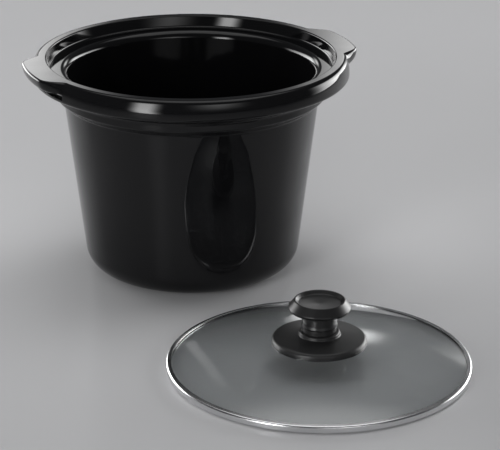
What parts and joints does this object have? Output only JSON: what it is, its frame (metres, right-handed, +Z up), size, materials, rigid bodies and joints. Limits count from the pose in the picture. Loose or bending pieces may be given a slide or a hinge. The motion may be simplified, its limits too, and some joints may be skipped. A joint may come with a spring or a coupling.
{
  "type": "slow cooker pot with lid",
  "caption": "Round glazed stoneware slow cooker pot with lug handles on its rim, and its domed glass lid with a steel edge band and dished black knob lying in front of it",
  "frame": {"origin": "centre of the pot's round foot, on the surface that the pot and the lid lie on", "axes": "+Z up; X through the pot's lugs; -Y towards the lid, which lies in front of the pot and 18 mm to its right"},
  "size_m": [0.2696, 0.4682, 0.177],
  "materials": {
    "pot_glaze": "high gloss black glaze",
    "lid_glass": "clear tempered glass",
    "band_steel": "bright rolled stainless steel",
    "knob_plastic": "satin black phenolic",
    "flange_plastic": "satin black phenolic",
    "insert_brass": "turned",
    "silicone": "translucent white silicone",
    "washer_steel": "stamped",
    "screw_steel": "rolled"
  },
  "bodies": {
    "pot": {"stoneware_pot": "pot_glaze"},
    "lid": {"lid_glass": "lid_glass", "lid_band": "band_steel", "lid_knob": "knob_plastic", "knob_flange": "flange_plastic", "knob_insert": "insert_brass", "flange_gasket": "silicone", "hole_grommet": "silicone", "clamp_washer": "washer_steel", "spring_washer": "washer_steel", "knob_screw": "screw_steel"}
  },
  "joints": [
    {"name": "lid_lift", "type": "slide", "parent": "pot", "child": "lid", "axis": [0, -0.1736, 0.9848], "range_m": [0, 0.25]}
  ]
}
